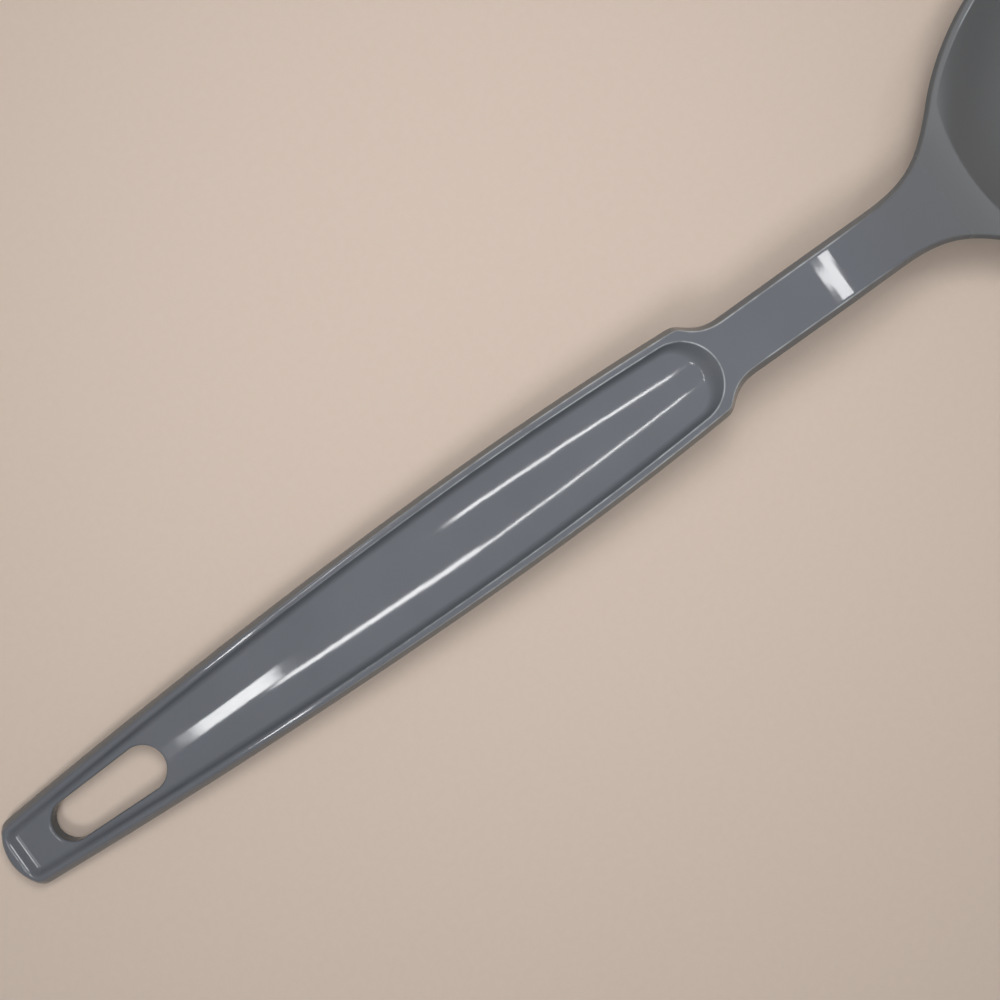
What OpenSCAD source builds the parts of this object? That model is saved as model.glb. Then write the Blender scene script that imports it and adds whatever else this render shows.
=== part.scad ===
// Slotted serving spoon: one glossy moulding with a tray handle, a bent neck and a drained bowl.
// It lies face up. X runs from the handle's end to the bowl's tip, and Z = 0 is the table.
// A station is a distance from the handle's end, and each cross-section is worked out at one station.

/* [Handle] */
// Distance from the handle's end to the shoulder corners
handle_l = 167.6; // [140:0.1:200]
// Width that the sides of the handle would have at its very end
handle_end_w = 14.6; // [12:0.1:18]
// Greatest width of the handle
handle_w = 23.8; // [20:0.1:28]
// Distance from the handle's end to its greatest width
handle_swell_at = 115; // [80:1:130]
// Width between the shoulder corners
shoulder_w = 19.9; // [17:0.1:23]
// Radius of the rounded end, seen from above
end_r = 10.8; // [8:0.1:14]
// Thickness of the handle at its end
end_t = 5.4; // [4.5:0.1:7]
// Thickness of the handle at the shoulders
shoulder_t = 7; // [5.5:0.1:9]
// How far the outer wall leans out, from its top edge to its widest line
wall_lean = 1.15; // [0.6:0.05:1.6]
// Radius under the handle, where the wall turns into the underside
under_r = 3.4; // [2:0.1:4.5]

/* [Recess] */
// Width of the raised rim along the recess, from the widest line inwards
rim_w = 2.3; // [2:0.1:3.4]
// Width of the raised rim at the handle's end
end_rim_w = 3.5; // [2.2:0.1:4.5]
// Distance that the recess runs past the shoulder corners
recess_past = 2.5; // [0:0.1:6]
// Depth of the recess wall next to the neck
recess_wall = 2; // [1:0.1:3]
// Depth of the recess wall next to the handle's end
recess_end_wall = 1.6; // [0.6:0.1:2]
// Further depth of the dished floor at its middle
recess_dish = 1.1; // [0.3:0.1:1.6]
// Distance over which the recess wall rounds into the floor
recess_round = 1.6; // [1:0.1:4]
// Distance over which the round end of the recess, next to the neck, rounds into the floor
recess_end_round = 5.6; // [1:0.1:7]
// Length from the handle's end over which the dish grows to its full depth
recess_dish_l = 60; // [30:1:90]
// Corner radius of the recess next to the handle's end
recess_corner_r = 1.6; // [1:0.1:4]

/* [Hang slot] */
// Distance from the handle's end to the near end of the hang slot
hang_at = 11.7; // [9:0.1:16]
// Overall length of the hang slot
hang_l = 27; // [18:0.1:30]
// Width of the hang slot at the end nearer the handle's end
hang_w = 8.6; // [6:0.1:9.5]
// Width of the hang slot at the end nearer the neck
hang_far_w = 9.7; // [6:0.1:10.5]
// Length of handle past the hang slot that belongs to the hang loop
hang_margin = 5; // [3:0.5:10]

/* [Neck] */
// Distance from the shoulder corners to the crest of the bend
neck_l = 29.4; // [24:0.1:50]
// Width of the neck
neck_w = 12.5; // [10:0.1:15]
// Thickness of the neck
neck_t = 4.8; // [3.5:0.1:6]
// Length over which the handle thins down to the neck
thinning_l = 12; // [8:0.5:16]
// Half width that the shoulders lose for each millimetre of length
shoulder_slope = 0.98; // [0.5:0.01:1.2]
// Height of the crest of the bend above the bowl's rim
crest_rise = 7.3; // [4:0.1:10]
// Least radius of the bend, seen from the side
bend_r = 26; // [18:1:40]

/* [Bowl] */
// Distance from the crest of the bend to the back edge of the hollow
throat_l = 32.9; // [28:0.1:45]
// Distance from the back edge of the hollow to the bowl's tip
bowl_l = 75.1; // [65:0.1:95]
// Greatest width of the bowl
bowl_w = 65.6; // [54:0.2:78]
// Distance from the greatest width to the bowl's tip
nose_l = 35.5; // [30:0.5:44]
// Length of the curve from the greatest width back towards the neck
tail_l = 44.2; // [40:0.1:54]
// Depth of the hollow below the rim
bowl_depth = 16.6; // [12:0.1:20]
// Thickness of the bowl's floor
floor_t = 2.4; // [1.8:0.1:3.2]
// Thickness of the rim
rim_t = 2.6; // [2:0.1:3.4]
// Width of the flat lip round the hollow
lip_w = 1.5; // [1.2:0.1:3]
// Radius of the bowed back edge of the hollow, seen from above
crease_r = 44; // [36:1:120]
// Depth of the small flat on which the bowl stands
foot_cut = 0.3; // [0.1:0.05:0.5]

/* [Drain slots] */
// Number of drain slots
drain_n = 5; // [1:2:5]
// Width of each drain slot
drain_w = 4.8; // [4.2:0.1:5.5]
// Distance between the middles of neighbouring slots
drain_pitch = 9.8; // [8.5:0.1:10.5]
// Length of the middle slot
drain_l = 41; // [30:0.5:48]
// Length that each slot loses against the next one towards the middle
drain_step = 7; // [4:0.5:10]
// Distance from the back edge of the hollow to the middle slot
drain_at = 19.3; // [12:0.1:22]

/* [Hidden] */

plastic = [0.38, 0.41, 0.44];
slot_facets = 17;
through = 60;
tiny = 0.01;

// Stations of the main features, and of the planes between the four zones
crest_x = handle_l + neck_l;
hollow_x = crest_x + throat_l;
tip_x = hollow_x + bowl_l;
widest_x = tip_x - nose_l;
recess_end_x = handle_l + recess_past;
hang_loop_x = hang_at + hang_l + hang_margin;
grip_x = handle_l + thinning_l;
root_x = crest_x + throat_l / 4;

// Powers of the tapers in plan, and how strongly the corners between the plan curves are rounded
taper_power = 1.87;
tail_power = 1.72;
flank_share = 0.866;
end_blend = 1.9;
shoulder_blend = 1.5;
shoulder_fillet = 4.6;
flare_fillet = 20.8;

// Edge and underside of the bowl's rim
bowl_lean = 0.5;
bowl_under_r = 1.1;
belly_inset = 0.7;
belly_past = 3.2;
belly_fillet = 0.3;
dish_power = 2.4;
edge_blend = 1.1;

// Side view: the handle rises from the table to the crest, and the throat falls to the level rim
brow_r = 30;
brow_back = 2.5;
rim_z = bowl_depth + floor_t;
crest_z = rim_z + crest_rise;
fall = crest_rise / (throat_l - brow_back);
// The rounded underside of the handle's end touches the table at its lowest point
end_slope = (crest_z - end_t) / crest_x - (shoulder_t - end_t) / handle_l;
end_turn = end_slope * under_r / (end_t / 2);
end_turn_l = norm([1, end_turn]);
end_lift = end_slope * under_r * (1 - end_turn / end_turn_l) + end_t / 2 * (1 - 1 / end_turn_l);
end_z = end_t - end_lift;
rise = (crest_z - end_z) / crest_x;
bend_blend = bend_r * pow(rise + fall, 2);
brow_blend = brow_r * fall * fall;

// Smooth greater and lesser of two values, rounded where they differ by less than k
function soft(a, b, k) = pow(max(k - abs(a - b), 0) / k, 3) * k / 6;
function soft_max(a, b, k) = max(a, b) + soft(a, b, k);
function soft_min(a, b, k) = min(a, b) - soft(a, b, k);

// A rise from 0 to 1 with level ends, a rise from 0 that levels off at 1, and a share between two values
function ease(t) = let (c = min(max(t, 0), 1)) c * c * (3 - 2 * c);
function level(t) = 1 - pow(1 - min(max(t, 0), 1), 2);
function mix(a, b, t) = a + (b - a) * t;

// Half width of the handle: swelling sides, a round end and sloping shoulders
function side_w(x) = x < handle_swell_at
    ? handle_w / 2 - (handle_w - handle_end_w) / 2 * pow(1 - x / handle_swell_at, taper_power)
    : handle_w / 2
        - (handle_w - shoulder_w) / 2 * pow((x - handle_swell_at) / (handle_l - handle_swell_at), 2);
function end_w(x) = sqrt(max(x * (2 * end_r - x), 0));
function shoulder_line(x) = shoulder_w / 2 - shoulder_slope * (x - handle_l);
function handle_half(x) = x < end_r
    ? soft_min(side_w(x), end_w(x), end_blend)
    : soft_min(side_w(x), shoulder_line(x), shoulder_blend);

// Half width of the bowl: a round nose, a longer tail and a straight flank down to the neck
flank_x = widest_x - flank_share * tail_l;
flank_q = pow(flank_share, tail_power);
flank_w = bowl_w / 2 * sqrt(1 - flank_q);
flank_slope = bowl_w / 4 / sqrt(1 - flank_q) * tail_power * flank_q / (widest_x - flank_x);
function nose_half(x, inset) =
    (bowl_w / 2 - inset) * sqrt(max(1 - pow((x - widest_x) / (nose_l - inset), 2), 0));
function tail_half(x) = x > flank_x
    ? bowl_w / 2 * sqrt(1 - pow((widest_x - x) / tail_l, tail_power))
    : flank_w - flank_slope * (flank_x - x);

// Half width of the whole spoon, how fast it changes, and the half width of an inset outline
function half_w(x) = x < handle_swell_at
    ? handle_half(x)
    : x < crest_x
        ? soft_max(handle_half(x), neck_w / 2, shoulder_fillet)
        : x < widest_x ? soft_max(tail_half(x), neck_w / 2, flare_fillet) : nose_half(x, 0);
function half_slope(x) = (half_w(min(x + tiny, tip_x)) - half_w(max(x - tiny, 0))) / (2 * tiny);
function inset_half(x, inset) = x > widest_x
    ? nose_half(x, inset)
    : half_w(x) - inset * norm([1, half_slope(x)]);

// Height of the top line, and the thickness and wall below it
function handle_line(x) = end_z + rise * x;
function throat_line(x) = crest_z - fall * (x - crest_x);
function top_z(x) = x < crest_x + throat_l / 2
    ? soft_min(handle_line(x), throat_line(x), bend_blend)
    : soft_max(throat_line(x), rim_z, brow_blend);
function bowlward(x) = ease((x - crest_x) / throat_l);
function handle_t(x) = mix(end_t, shoulder_t, min(x / handle_l, 1));
function thick(x) = mix(mix(handle_t(x), neck_t, ease((x - handle_l) / thinning_l)), rim_t, bowlward(x));
function lean(x) = mix(wall_lean, bowl_lean, bowlward(x));
function wall_h(x) = thick(x) / 2;

// Distance of a point inwards from the widest line: exact on the round end, close elsewhere
function from_side(x, y) = (half_w(x) - abs(y)) / norm([1, half_slope(x)]);
function from_nose(x, y) = let (
        p = (x - widest_x) / nose_l,
        q = 2 * abs(y) / bowl_w)
    (1 - p * p - q * q) / (2 * max(norm([p / nose_l, 2 * q / bowl_w]), tiny));
function inside(x, y) = max(0, x < end_r
    ? min(from_side(x, y), end_r - norm([end_r - x, y]))
    : x > widest_x ? from_nose(x, y) : from_side(x, y));

// Recess of the handle: how far a point lies inside its outline, and its depth there
function recess_half(x) = inset_half(x, rim_w);
recess_end_r = recess_half(handle_l - rim_w);
recess_turn_x = recess_end_x - recess_end_r;
function corner_inset(a, b, r) = a < r && b < r ? r - norm([r - a, r - b]) : min(a, b);
function recess_inset(x, y) = x > recess_turn_x
    ? recess_end_r - norm([x - recess_turn_x, y])
    : corner_inset(x - end_rim_w, recess_half(x) - abs(y), recess_corner_r);
function recess_floor(x, y) = mix(recess_end_wall, recess_wall, min(x / handle_l, 1))
    + recess_dish * ease(x / recess_dish_l) * (1 - pow(y / recess_half(min(x, recess_turn_x)), 2));
function recess_run(x) = let (into_end = max(x - recess_turn_x, 0) / recess_end_r)
    mix(recess_round, recess_end_round, into_end * into_end);
function recess(x, y) = let (d = recess_inset(x, y))
    x > recess_end_x || d < 0 ? 0 : recess_floor(x, y) * level(d / recess_run(x));
function recess_reach(x) = x < recess_turn_x
    ? recess_half(x)
    : sqrt(max(recess_end_r * recess_end_r - pow(x - recess_turn_x, 2), 0));

// Hollow of the bowl and the belly under it: both are dished along and across
middle_x = (hollow_x + tip_x) / 2;
function along_share(x, back, front) = let (reach = x < middle_x ? middle_x - back : front - middle_x)
    1 - pow(abs(x - middle_x) / reach, dish_power);
function across_share(y, half) = half > abs(y) ? 1 - pow(abs(y) / half, dish_power) : 0;
function crease_x(y) = hollow_x + y * y / (2 * crease_r);
function hollow(x, y) = bowl_depth
    * max(along_share(x, crease_x(y), tip_x - lip_w), 0)
    * across_share(y, inset_half(x, lip_w));
function belly(x, y) = (rim_z - rim_t + foot_cut)
    * soft_max(along_share(x, hollow_x - belly_past, tip_x - belly_inset), 0, belly_fillet)
    * across_share(y, inset_half(x, belly_inset));
function hollow_reach(x) = min(inset_half(x, lip_w), sqrt(max(x - hollow_x, 0) * 2 * crease_r));

// Top and bottom surfaces
function top_h(x, y) = let (drop = soft_max(wall_h(x) * (1 - inside(x, y) / lean(x)), 0, edge_blend))
    top_z(x) - min(drop, wall_h(x)) - recess(x, y) - hollow(x, y);
function bottom_h(x, y) = let (r = mix(under_r, bowl_under_r, bowlward(x)))
    top_z(x) - wall_h(x) - (thick(x) - wall_h(x)) * sqrt(level(inside(x, y) / r)) - belly(x, y);

// One cross-section: shares of the half width where it has points, and its points all the way round
// It has no point on the mirror plane, so a cut along that plane meets no corner
edge_shares = [0, 0.55, 1, 1.3];
land_shares = [1, 0.94, 0.86, 0.74, 0.58, 0.38, 0.13];
under_shares = [0.13, 0.38, 0.6, 0.76, 0.87, 0.94, 0.985];
function land_reach(x) = x > end_rim_w && x < recess_end_x
    ? recess_reach(x)
    : x > hollow_x && x < tip_x - lip_w ? hollow_reach(x) : half_w(x);
function top_ys(x) = let (w = half_w(x), edge = min(lean(x), w / 3))
    concat(
        [for (s = edge_shares) w - s * edge],
        [for (s = land_shares) s * min(land_reach(x), w - 1.5 * edge)]);
function ring(x) = let (
        top = [for (y = top_ys(x)) [x, y, top_h(x, y)]],
        under = [for (s = under_shares) [x, s * half_w(x), bottom_h(x, s * half_w(x))]])
    concat(
        top,
        [for (i = [len(top) - 1:-1:0]) [x, -top[i][1], top[i][2]]],
        [for (i = [len(under) - 1:-1:0]) [x, -under[i][1], under[i][2]]],
        under);

// Runs of stations: evenly spaced, and strictly between two ends while closing up towards the first
function even(a, b, n) = [for (i = [0:n]) mix(a, b, i / n)];
function closing(a, b, n) = [for (i = [1:n - 1]) mix(a, b, pow(i / n, 2))];
function reversed(list) = [for (i = [len(list) - 1:-1:0]) list[i]];

// Solid through the cross-sections at a run of stations, closed by its two end faces
module loft(stations) {
    rings = [for (x = stations) ring(x)];
    n = len(rings[0]);
    last = (len(rings) - 1) * n;
    sides = [for (i = [0:len(rings) - 2], j = [0:n - 1]) let (a = i * n, b = a + n, k = (j + 1) % n)
        each [[a + j, b + k, a + k], [a + j, b + j, b + k]]];
    ends = [[for (j = [0:n - 1]) j], [for (j = [n - 1:-1:0]) last + j]];
    polyhedron([for (r = rings) each r], concat(sides, ends));
}

// Upright prism with two round ends, each of its own width, tangent sides and its near end at x
module slot(x, l, near_w, far_w) {
    run = l - (near_w + far_w) / 2;
    flare = asin((far_w - near_w) / 2 / run);
    near = [x + near_w / 2, 0];
    far = near + [run, 0];
    near_end = [for (a = even(90 + flare, 270 - flare, slot_facets)) near + near_w / 2 * [cos(a), sin(a)]];
    far_end = [for (a = even(-90 - flare, 90 + flare, slot_facets)) far + far_w / 2 * [cos(a), sin(a)]];
    translate([0, 0, -through]) linear_extrude(2 * through) polygon(concat(near_end, far_end));
}

// Drain slots side by side, shorter towards the sides of the bowl
module drains() {
    for (i = [0:drain_n - 1]) {
        place = i - (drain_n - 1) / 2;
        l = drain_l - abs(place) * drain_step;
        near_x = hollow_x + drain_at + (drain_l - l) / 2;
        translate([0, place * drain_pitch, 0]) slot(near_x, l, drain_w, drain_w);
    }
}

// Everything below the table
module below() {
    translate([0, -bowl_w, -through]) cube([tip_x, 2 * bowl_w, through]);
}

// Puts the middle of the spoon's length over the origin
module centred() {
    translate([-tip_x / 2, 0, 0]) children();
}

module hang_loop() {
    end_run = end_r * 0.6;
    color(plastic) centred() difference() {
        loft(concat([tiny], closing(0, end_run, 12), even(end_run, hang_loop_x, 13)));
        slot(hang_at, hang_l, hang_w, hang_far_w);
    }
}

module grip() {
    color(plastic) centred() loft(concat(
        even(hang_loop_x, recess_turn_x, 28),
        reversed(closing(recess_end_x, recess_turn_x, 15)),
        even(recess_end_x, grip_x, 4)));
}

module neck() {
    color(plastic) centred() loft(even(grip_x, root_x, 22));
}

module bowl() {
    crease_run = hollow_reach(widest_x) / 4;
    nose_run = nose_l / 3;
    color(plastic) centred() difference() {
        loft(concat(
            even(root_x, hollow_x, 14),
            closing(hollow_x, hollow_x + crease_run, 11),
            even(hollow_x + crease_run, tip_x - nose_run, 18),
            reversed(closing(tip_x, tip_x - nose_run, 15)),
            [tip_x - tiny]));
        drains();
        below();
    }
}

hang_loop();
grip();
neck();
bowl();
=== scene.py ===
"""Slotted serving spoon, dressed for the render.

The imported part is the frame. Each of its four zones is replaced by a finer surface of the same
form, with rounded edges, and all of them take one glossy moulded finish. A plain table, soft studio
light and a camera that looks down on the handle complete the scene.

Lengths are millimetres until a mesh, a lamp or the camera is made, which is in metres. A station is
a distance from the handle's end along the spoon, as in the part's source, and y is the distance to
the left of its axis.
"""

from __future__ import annotations

import logging
from dataclasses import dataclass, field
from enum import Enum

import bpy
import numpy as np
from mathutils import Matrix, Vector


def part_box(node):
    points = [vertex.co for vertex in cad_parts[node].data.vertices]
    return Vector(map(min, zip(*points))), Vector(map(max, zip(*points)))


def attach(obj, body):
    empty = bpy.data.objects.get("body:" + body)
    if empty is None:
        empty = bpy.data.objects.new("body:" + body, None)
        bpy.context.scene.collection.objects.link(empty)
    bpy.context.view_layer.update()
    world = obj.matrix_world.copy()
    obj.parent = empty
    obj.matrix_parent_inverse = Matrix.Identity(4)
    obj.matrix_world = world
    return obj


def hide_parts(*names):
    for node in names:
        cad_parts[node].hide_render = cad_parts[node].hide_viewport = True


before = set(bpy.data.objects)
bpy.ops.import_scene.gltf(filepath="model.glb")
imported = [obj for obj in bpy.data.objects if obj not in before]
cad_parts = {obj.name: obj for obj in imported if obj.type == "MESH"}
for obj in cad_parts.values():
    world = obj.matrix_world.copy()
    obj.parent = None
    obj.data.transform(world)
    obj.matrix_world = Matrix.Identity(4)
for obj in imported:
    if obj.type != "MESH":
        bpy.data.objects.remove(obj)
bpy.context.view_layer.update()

log = logging.getLogger("spoon")
Array = np.ndarray

MM = 0.001
TINY = 0.01
WELD = 1e-4


class Zone(Enum):
    """The zones of the moulding, by the CAD nodes that they stand for."""

    HANG_LOOP = "hang_loop"
    GRIP = "grip"
    NECK = "neck"
    BOWL = "bowl"


class Mark(Enum):
    """Painted edge highlight and dulling by use, by the mesh attributes that hold their shares."""

    EDGE = "edge_highlight"
    USE = "use_wear"


class Role(Enum):
    """A lamp's use, by the property switched off: it only lights, or it is only mirrored."""

    LIGHT = "visible_glossy"
    GLINT = "visible_diffuse"


def soft_extra(a: Array, b: Array, k: float) -> Array:
    """Cubic bump that rounds the corner between two values: k/6 where they meet, 0 at k apart."""
    return np.maximum(k - np.abs(a - b), 0.0) ** 3 / (6.0 * k * k)


def soft_max(a: Array, b: Array, k: float) -> Array:
    """Greater of two values, rounded where they differ by less than k."""
    return np.maximum(a, b) + soft_extra(a, b, k)


def soft_min(a: Array, b: Array, k: float) -> Array:
    """Lesser of two values, rounded where they differ by less than k."""
    return np.minimum(a, b) - soft_extra(a, b, k)


def ease(t: Array) -> Array:
    """Rise from 0 to 1 with level ends."""
    c = np.clip(t, 0.0, 1.0)
    return c * c * (3.0 - 2.0 * c)


def level(t: Array) -> Array:
    """Rise from 0 that levels off at 1, along a parabola."""
    return 1.0 - (1.0 - np.clip(t, 0.0, 1.0)) ** 2


def mix(a: Array, b: Array, t: Array) -> Array:
    """Value at share t of the way from a to b."""
    return a + (b - a) * t


def spread(a: Array, b: Array, shares: Array) -> Array:
    """Rows between two lines.

    Args:
        a: First line's y at each station.
        b: Last line's y at each station.
        shares: Shares of the way from a to b.

    Returns:
        One row of values per station and one column per share.
    """
    return a[:, None] + (b - a)[:, None] * shares[None, :]


def closing(n: int) -> Array:
    """Shares from 0 to 1 in n steps that close up towards both ends, along half a cosine wave."""
    return (1.0 - np.cos(np.linspace(0.0, np.pi, n + 1))) / 2.0


@dataclass(frozen=True)
class Plan:
    """Outline of the spoon from above, the same on both sides of its axis."""

    length: float = 305.0
    handle_l: float = 167.6
    handle_end_w: float = 14.6
    handle_w: float = 23.8
    swell_at: float = 115.0
    shoulder_w: float = 19.9
    shoulder_slope: float = 0.98
    end_r: float = 10.8
    neck_l: float = 29.4
    neck_w: float = 12.5
    bowl_w: float = 65.6
    nose_l: float = 35.5
    tail_l: float = 44.2
    taper_power: float = 1.87
    tail_power: float = 1.72
    flank_share: float = 0.866
    end_blend: float = 1.9
    shoulder_blend: float = 1.5
    shoulder_fillet: float = 4.6
    flare_fillet: float = 20.8

    @property
    def crest(self) -> float:
        """Station of the crest of the neck's bend."""
        return self.handle_l + self.neck_l

    @property
    def widest(self) -> float:
        """Station of the bowl's greatest width."""
        return self.length - self.nose_l

    def handle_half(self, x: Array) -> Array:
        """Half width of the handle: swelling sides, a round end and sloping shoulders.

        The sides lose a power curve towards the end and a parabola towards the shoulders. The end
        is a circle, the shoulders are straight, and the lesser value holds, rounded where they meet.

        Args:
            x: Stations.

        Returns:
            The half widths.
        """
        taper = np.clip(1.0 - x / self.swell_at, 0.0, None) ** self.taper_power
        narrowing = np.clip((x - self.swell_at) / (self.handle_l - self.swell_at), 0.0, None) ** 2
        end_lost = (self.handle_w - self.handle_end_w) * taper
        shoulder_lost = (self.handle_w - self.shoulder_w) * narrowing
        side = (self.handle_w - (end_lost + shoulder_lost)) / 2.0
        end = np.sqrt(np.clip(x * (2.0 * self.end_r - x), 0.0, None))
        shoulder = self.shoulder_w / 2.0 - self.shoulder_slope * (x - self.handle_l)
        return np.where(
            x < self.end_r,
            soft_min(side, end, self.end_blend),
            soft_min(side, shoulder, self.shoulder_blend),
        )

    def tail_half(self, x: Array) -> Array:
        """Half width behind the bowl's greatest width: a power curve, then its tangent.

        Args:
            x: Stations.

        Returns:
            The half widths.
        """
        share = np.clip((self.widest - x) / self.tail_l, 0.0, self.flank_share)
        curve = self.bowl_w / 2.0 * np.sqrt(1.0 - share**self.tail_power)
        q = self.flank_share**self.tail_power
        flank_l = self.flank_share * self.tail_l
        slope = self.bowl_w / 4.0 / np.sqrt(1.0 - q) * self.tail_power * q / flank_l
        flank = self.widest - flank_l
        return curve - slope * np.clip(flank - x, 0.0, None)

    def nose_half(self, x: Array, inset: float = 0.0) -> Array:
        """Half width of the nose, half an ellipse, or of the same ellipse drawn further in."""
        p = (x - self.widest) / (self.nose_l - inset)
        return (self.bowl_w / 2.0 - inset) * np.sqrt(np.clip(1.0 - p * p, 0.0, None))

    def half(self, x: Array) -> Array:
        """Half width of the whole spoon: handle, neck, tail and nose, filleted together.

        Args:
            x: Stations.

        Returns:
            The half widths.
        """
        handle = self.handle_half(x)
        neck = self.neck_w / 2.0
        strap = np.where(x < self.swell_at, handle, soft_max(handle, neck, self.shoulder_fillet))
        tail = soft_max(self.tail_half(x), neck, self.flare_fillet)
        return np.where(x < self.crest, strap, np.where(x < self.widest, tail, self.nose_half(x)))

    def slope(self, x: Array) -> Array:
        """Change of the half width per millimetre along the spoon."""
        after = self.half(np.minimum(x + TINY, self.length))
        return (after - self.half(np.maximum(x - TINY, 0.0))) / (2.0 * TINY)

    def stretch(self, x: Array) -> Array:
        """How much longer a distance across the edge gets when it is measured along y."""
        return np.hypot(1.0, self.slope(x))

    def inset_half(self, x: Array, inset: float) -> Array:
        """Half width of the outline drawn in by a distance."""
        side = self.half(x) - inset * self.stretch(x)
        return np.where(x > self.widest, self.nose_half(x, inset), side)

    def inside(self, x: Array, y: Array) -> Array:
        """Distance inwards from the outline: exact on the round end, close elsewhere.

        Args:
            x: Stations.
            y: Distances from the axis.

        Returns:
            The distances, zero on the outline and outside it.
        """
        side = (self.half(x) - np.abs(y)) / self.stretch(x)
        end = self.end_r - np.hypot(self.end_r - x, y)
        p = (x - self.widest) / self.nose_l
        q = 2.0 * np.abs(y) / self.bowl_w
        steepness = np.maximum(np.hypot(p / self.nose_l, 2.0 * q / self.bowl_w), TINY)
        nose = (1.0 - p * p - q * q) / (2.0 * steepness)
        past_end = np.where(x > self.widest, nose, side)
        return np.maximum(np.where(x < self.end_r, np.minimum(side, end), past_end), 0.0)


@dataclass(frozen=True)
class SideView:
    """Height of the spoon's top line above the table, and the thickness under it."""

    plan: Plan
    end_t: float = 5.4
    shoulder_t: float = 7.0
    wall_lean: float = 1.15
    under_r: float = 3.4
    neck_t: float = 4.8
    thinning_l: float = 12.0
    crest_rise: float = 7.3
    bend_r: float = 26.0
    throat_l: float = 32.9
    brow_r: float = 30.0
    brow_back: float = 2.5
    rim_z: float = 19.0
    rim_t: float = 2.6
    bowl_lean: float = 0.5
    bowl_under_r: float = 1.1
    edge_blend: float = 0.8
    bead_blend: float = 2.4
    bead_l: float = 100.0

    @property
    def hollow_at(self) -> float:
        """Station of the back edge of the bowl's hollow."""
        return self.plan.crest + self.throat_l

    def top_line(self, x: Array) -> Array:
        """Height of the top line: straight handle, bend, straight throat, brow, level rim.

        The handle's slope is such that the turned edge under its end touches the table.

        Args:
            x: Stations.

        Returns:
            The heights above the table.
        """
        crest = self.plan.crest
        crest_z = self.rim_z + self.crest_rise
        fall = self.crest_rise / (self.throat_l - self.brow_back)
        pitch = (crest_z - self.end_t) / crest - (self.shoulder_t - self.end_t) / self.plan.handle_l
        turn = pitch * self.under_r / (self.end_t / 2.0)
        long_turn = np.hypot(1.0, turn)
        lift = pitch * self.under_r * (1.0 - turn / long_turn)
        lift = lift + self.end_t / 2.0 * (1.0 - 1.0 / long_turn)
        end_z = self.end_t - lift
        rise = (crest_z - end_z) / crest
        handle = end_z + rise * x
        throat = crest_z - fall * (x - crest)
        return np.where(
            x < crest + self.throat_l / 2.0,
            soft_min(handle, throat, self.bend_r * (rise + fall) ** 2),
            soft_max(throat, self.rim_z, self.brow_r * fall**2),
        )

    def bowlward(self, x: Array) -> Array:
        """Share of the way from the neck's section to the bowl's."""
        return ease((x - self.plan.crest) / self.throat_l)

    def thick(self, x: Array) -> Array:
        """Thickness: growing along the handle, thinner on the neck, thin at the bowl's rim.

        Args:
            x: Stations.

        Returns:
            The thicknesses.
        """
        handle = mix(self.end_t, self.shoulder_t, np.minimum(x / self.plan.handle_l, 1.0))
        neck = mix(handle, self.neck_t, ease((x - self.plan.handle_l) / self.thinning_l))
        return mix(neck, self.rim_t, self.bowlward(x))

    def lean(self, x: Array) -> Array:
        """How far the outer wall leans out from its top edge to its widest line."""
        return mix(self.wall_lean, self.bowl_lean, self.bowlward(x))

    def turn_r(self, x: Array) -> Array:
        """Radius where the outer wall turns into the underside."""
        return mix(self.under_r, self.bowl_under_r, self.bowlward(x))

    def edge_round(self, x: Array) -> Array:
        """Rounding of the outer wall's top edge: a bead at the handle's end, crisp further on."""
        return mix(self.bead_blend, self.edge_blend, ease(x / self.bead_l))


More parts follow.
